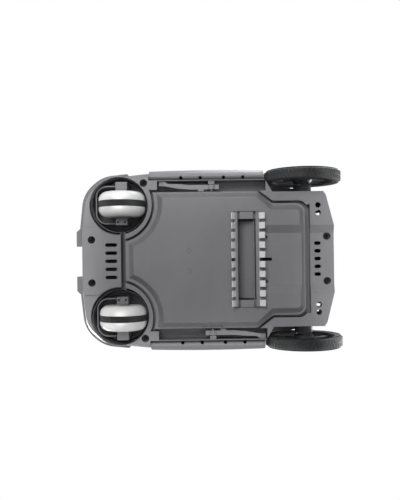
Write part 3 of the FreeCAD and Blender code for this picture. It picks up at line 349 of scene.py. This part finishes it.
finishes = {
    "shell_grey": {
        "colour": (0.176, 0.176, 0.185), "worn": (0.3, 0.3, 0.31), "roughness": (0.44, 0.58),
        "grain": 1500.0, "bump": 0.35,
    },
    "lid_grey": {
        "colour": (0.18, 0.18, 0.189), "worn": (0.32, 0.32, 0.33), "roughness": (0.44, 0.56),
        "grain": 1300.0, "bump": 0.35,
    },
    "trim_grey": {
        "colour": (0.2, 0.2, 0.21), "worn": (0.36, 0.36, 0.37), "roughness": (0.36, 0.48),
        "grain": 1700.0, "bump": 0.25,
    },
    "fork_grey": {
        "colour": (0.14, 0.14, 0.148), "worn": (0.3, 0.3, 0.31), "roughness": (0.36, 0.5),
        "grain": 1700.0, "bump": 0.25,
    },
    "ears_grey": {
        "colour": (0.16, 0.16, 0.168), "worn": (0.3, 0.3, 0.31), "roughness": (0.38, 0.5),
        "grain": 1600.0, "bump": 0.3,
    },
    "dark_plastic": {
        "colour": (0.024, 0.025, 0.028), "worn": (0.09, 0.09, 0.095), "roughness": (0.3, 0.44),
        "grain": 1600.0, "bump": 0.25, "film": 0.03,
    },
    "impeller_plastic": {
        "colour": (0.02, 0.021, 0.024), "worn": (0.08, 0.08, 0.085), "roughness": (0.28, 0.4),
        "grain": 1200.0, "bump": 0.2, "film": 0.02,
    },
    "bumper_rubber": {
        "colour": (0.135, 0.135, 0.143), "worn": (0.22, 0.22, 0.23), "roughness": (0.58, 0.74),
        "grain": 1100.0, "bump": 0.4, "film": 0.08,
    },
    "seal_rubber": {
        "colour": (0.018, 0.018, 0.02), "worn": (0.05, 0.05, 0.052), "roughness": (0.55, 0.7),
        "grain": 1100.0, "bump": 0.3,
    },
    "tyre_rubber": {
        "colour": (0.02, 0.021, 0.023), "worn": (0.055, 0.055, 0.06), "roughness": (0.5, 0.68),
        "grain": 900.0, "bump": 0.45, "film": 0.1, "edge": 0.0008,
        "fixed": {"Sheen Weight": 0.15, "Sheen Roughness": 0.4},
    },
    "white_plastic": {
        "colour": (0.8, 0.8, 0.795), "worn": (0.66, 0.66, 0.65), "roughness": (0.18, 0.28),
        "grain": 500.0, "bump": 0.04, "wear": 0.2, "fleck": 0.0, "film": 0.04,
        "fixed": {"Coat Weight": 0.3, "Coat Roughness": 0.12, "Subsurface Weight": 0.08,
                  "Subsurface Radius": (0.004, 0.004, 0.004), "Subsurface Scale": 0.5},
    },
    "flap_white": {
        "colour": (0.78, 0.78, 0.77), "worn": (0.62, 0.62, 0.6), "roughness": (0.42, 0.56),
        "grain": 800.0, "bump": 0.12, "wear": 0.25, "fleck": 0.04, "film": 0.1,
        "fixed": {"Subsurface Weight": 0.15, "Subsurface Radius": (0.003, 0.003, 0.003),
                  "Subsurface Scale": 0.5},
    },
    "button_white": {
        "colour": (0.76, 0.77, 0.78), "worn": (0.6, 0.6, 0.6), "roughness": (0.24, 0.34),
        "grain": 900.0, "bump": 0.06, "wear": 0.25, "fleck": 0.0,
    },
    "bush_plastic": {
        "colour": (0.62, 0.6, 0.53), "worn": (0.72, 0.71, 0.64), "roughness": (0.3, 0.42),
        "grain": 1400.0, "bump": 0.12, "wear": 0.3,
    },
    "foam": {
        "colour": (0.66, 0.65, 0.6), "worn": (0.5, 0.49, 0.44), "roughness": (0.8, 0.95),
        "grain": 700.0, "bump": 0.9, "depth": 0.0005,
    },
    "steel": {
        "colour": (0.56, 0.56, 0.57), "worn": (0.75, 0.75, 0.76), "roughness": (0.2, 0.34),
        "grain": 1800.0, "bump": 0.12, "fleck": 0.05, "film": 0.04,
        "ribs": {"Along X": 5200.0, "Along Y": 300.0, "Along Z": 1200.0, "Waver": 6.0},
        "fixed": {"Metallic": 1.0},
    },
    "screw_black": {
        "colour": (0.035, 0.035, 0.038), "worn": (0.12, 0.12, 0.125), "roughness": (0.34, 0.5),
        "grain": 1600.0, "bump": 0.15, "fleck": 0.06, "film": 0.04,
        "fixed": {"Metallic": 1.0},
    },
    "contact_brass": {
        "colour": (0.78, 0.58, 0.27), "worn": (0.9, 0.74, 0.42), "roughness": (0.2, 0.36),
        "grain": 1800.0, "bump": 0.12, "fleck": 0.08, "film": 0.05,
        "ribs": {"Along X": 900.0, "Along Y": 4200.0, "Along Z": 600.0, "Waver": 6.0},
        "fixed": {"Metallic": 1.0},
    },
    "mesh_fabric": {
        "colour": (0.42, 0.44, 0.46), "worn": (0.6, 0.6, 0.6), "roughness": (0.6, 0.75),
        "grain": 1400.0, "bump": 0.4, "film": 0.1,
        "ribs": {"Along X": 3600.0, "Along Y": 3600.0, "Along Z": 3600.0, "Waver": 3.0},
    },
    "light_window": {
        "colour": (0.12, 0.3, 0.42), "worn": (0.3, 0.45, 0.55), "roughness": (0.12, 0.2),
        "grain": 600.0, "bump": 0.05, "wear": 0.2, "fleck": 0.0,
        "fixed": {"Coat Weight": 0.5, "Emission Color": (0.2, 0.75, 1.0, 1), "Emission Strength": 0.25},
    },
}
materials = {name: makeFinish(name, look)[0] for name, look in finishes.items()}

for node in nodes.values():
    for slot in node.material_slots:
        slot.material = materials[slot.material.name.split(".")[0]]
print("finishes made:", len(materials))


# pieces turned about an axis

# section is a closed loop of (along the axis, radius, share of the pattern), and drop is the pattern
def turnedMesh(name, section, count, drop):
    points = []
    faces = []
    size = len(section)
    for step in range(count):
        angle = 2 * math.pi * step / count
        here, after = step * size, (step + 1) % count * size
        for corner, (along, radius, share) in enumerate(section):
            reach = radius - share * drop(step, along)
            nextCorner = (corner + 1) % size
            points.append((along, reach * math.cos(angle), reach * math.sin(angle)))
            faces.append((here + corner, after + corner, after + nextCorner, here + nextCorner))
    mesh = bpy.data.meshes.new(name)
    mesh.from_pydata(points, [], faces)
    mesh.update()
    return mesh


def addPiece(name, mesh, place, body, slotName, stands=()):
    piece = bpy.data.objects.new(name, mesh)
    scene.collection.objects.link(piece)
    mesh.materials.append(materials[slotName])
    piece.location = place
    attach(piece, body)
    if stands:
        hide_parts(*stands)


def middle(node):
    low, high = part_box(node)
    return [(low[axis] + high[axis]) / 2 for axis in range(3)]


def halfSpan(node, axis):
    low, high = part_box(node)
    return (high[axis] - low[axis]) / 2


# drive tyres: shallow grip marks, offset on the two halves

tyre = {
    "lugs": 60, "lugDepth": 0.0005, "stepsPerLug": 4, "shoulder": 0.0032, "bulge": 0.001,
    "heel": 0.0038, "wallTop": 0.0065, "grooveHalf": 0.0012, "rimGap": 0.0002,
}


def lugDrop(step, along):
    phase = step + (2 if along > 0 else 0)
    return tyre["lugDepth"] if phase % tyre["stepsPerLug"] in (0, 1) else 0.0


for side in ("right", "left"):
    node = f"drive_tyre_{side}"
    outer = halfSpan(node, 2)
    inner = halfSpan(f"drive_rim_{side}", 2) - tyre["rimGap"]
    half = halfSpan(node, 0)
    wall = half - tyre["bulge"]
    crown = half - tyre["shoulder"]
    groove = tyre["grooveHalf"]
    grooveFloor = outer - tyre["lugDepth"]
    section = [
        (-wall, inner, 0), (-half, (inner + outer) / 2, 0), (-wall, outer - tyre["wallTop"], 0),
        (-wall, outer - tyre["heel"], 0), (-crown, outer, 1), (-groove, outer, 1),
        (-groove * 0.6, grooveFloor, 0), (groove * 0.6, grooveFloor, 0),
        (groove, outer, 1), (crown, outer, 1), (wall, outer - tyre["heel"], 0),
        (wall, outer - tyre["wallTop"], 0), (half, (inner + outer) / 2, 0), (wall, inner, 0),
    ]
    name = f"{node}_treaded"
    mesh = turnedMesh(name, section, tyre["lugs"] * tyre["stepsPerLug"], lugDrop)
    addPiece(name, mesh, middle(node), f"drive_wheel_{side}", "tyre_rubber", (node,))
print("tyres made")


# grip bands around the front wheels: fine ribs across the band

band = {"ribs": 84, "ribDepth": 0.0005, "stepsPerRib": 4, "edge": 0.0007, "bore": 0.0033}


def ribDrop(step, along):
    return band["ribDepth"] if step % band["stepsPerRib"] in (0, 1) else 0.0


for side in ("right", "left"):
    node = f"caster_band_{side}"
    outer = halfSpan(node, 2)
    half = halfSpan(node, 0)
    shoulder = outer - band["edge"]
    crown = half - band["edge"]
    section = [
        (-half, band["bore"], 0), (-half, shoulder, 0), (-crown, outer, 1),
        (crown, outer, 1), (half, shoulder, 0), (half, band["bore"], 0),
    ]
    name = f"{node}_ribbed"
    mesh = turnedMesh(name, section, band["ribs"] * band["stepsPerRib"], ribDrop)
    slotName = nodes[node].material_slots[0].material.name.split(".")[0]
    addPiece(name, mesh, middle(node), f"front_wheel_{side}", slotName, (node,))
print("front wheel bands made")


# two round mould marks on the lid

mark = {
    "places": ((0.0152, -0.0297), (-0.017, -0.0298)),
    "radius": 0.0038, "ringWidth": 0.0006, "rise": 0.0004, "sink": 0.001, "flare": 0.0002, "steps": 48,
}

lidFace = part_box("bottom_lid")[0][2]
inner = mark["radius"] - mark["ringWidth"]
section = [
    (-mark["rise"], mark["radius"], 0), (mark["sink"], mark["radius"] + mark["flare"], 0),
    (mark["sink"], inner - mark["flare"], 0), (-mark["rise"], inner, 0),
]
for number, (markX, markY) in enumerate(mark["places"], 1):
    mesh = turnedMesh(f"mould_mark_{number}", section, mark["steps"], lambda step, along: 0.0)
    for vertex in mesh.vertices:
        along, across, up = vertex.co
        vertex.co = (across, up, along)
    addPiece(f"mould_mark_{number}", mesh, (markX, markY, lidFace), "lid", "lid_grey")
print("mould marks made")
